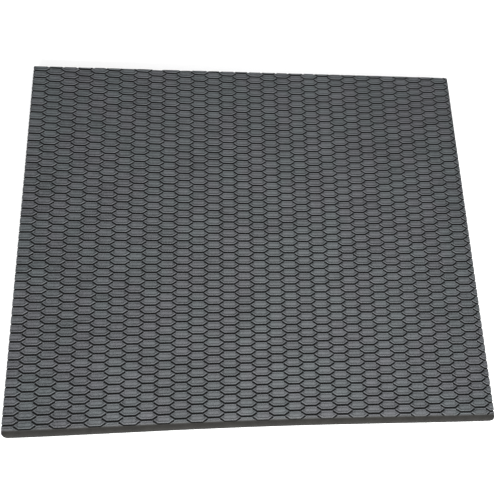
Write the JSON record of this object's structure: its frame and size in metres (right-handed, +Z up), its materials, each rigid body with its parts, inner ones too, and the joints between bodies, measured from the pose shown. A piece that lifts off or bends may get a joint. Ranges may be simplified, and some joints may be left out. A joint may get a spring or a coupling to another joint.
{
  "type": "seedling heat mat",
  "caption": "Flat rubber propagation mat with a moulded tread of long hexagonal pads, rounded front and right lips, a heating layer inside and a flush junction box underneath.",
  "frame": {"origin": "centre of the mat's box, on the surface it lies on", "axes": "+X to the mat's right, +Y to its rear edge where the cord gland is, +Z up through the tread"},
  "size_m": [0.49, 0.4, 0.012],
  "materials": {
    "tread_rubber": "moulded, satin with fine grain",
    "base_rubber": "matt, pebbled",
    "edge_rubber": "matt",
    "foam": "closed-cell foam",
    "foil": "bright rolled foil",
    "scrim": "open glass-fibre weave",
    "wire": "silicone insulated",
    "seal_rubber": "matt",
    "black_nylon": "fine spark texture",
    "white_nylon": "satin",
    "brass": "turned",
    "steel": "zinc plated",
    "brown_lead": "silicone insulated",
    "blue_lead": "silicone insulated",
    "earth_green": "silicone insulated"
  },
  "bodies": {
    "root": {"top_cover": "tread_rubber", "base_sheet": "base_rubber", "left_edge_strip": "edge_rubber", "rear_edge_strip_left": "edge_rubber", "rear_edge_strip_right": "edge_rubber", "insulation_foam": "foam", "reflector_foil": "foil", "carrier_scrim": "scrim", "heating_wire": "wire", "earth_screen": "foil", "cord_gland": "seal_rubber", "junction_tray": "black_nylon", "junction_lid": "black_nylon", "lid_gasket": "seal_rubber", "lid_screw_1": "steel", "lid_screw_2": "steel", "lid_screw_3": "steel", "lid_screw_4": "steel", "terminal_body": "white_nylon", "terminal_live": "brass", "terminal_screw_live_cord": "steel", "terminal_screw_live_mat": "steel", "terminal_earth": "brass", "terminal_screw_earth_cord": "steel", "terminal_screw_earth_mat": "steel", "terminal_neutral": "brass", "terminal_screw_neutral_cord": "steel", "terminal_screw_neutral_mat": "steel", "cold_lead_live": "brown_lead", "cold_lead_neutral": "blue_lead", "earth_lead": "earth_green", "thermal_cutout": "steel", "splice_live": "brass", "splice_neutral": "brass", "earth_tag": "brass", "earth_rivet": "brass"}
  },
  "joints": []
}
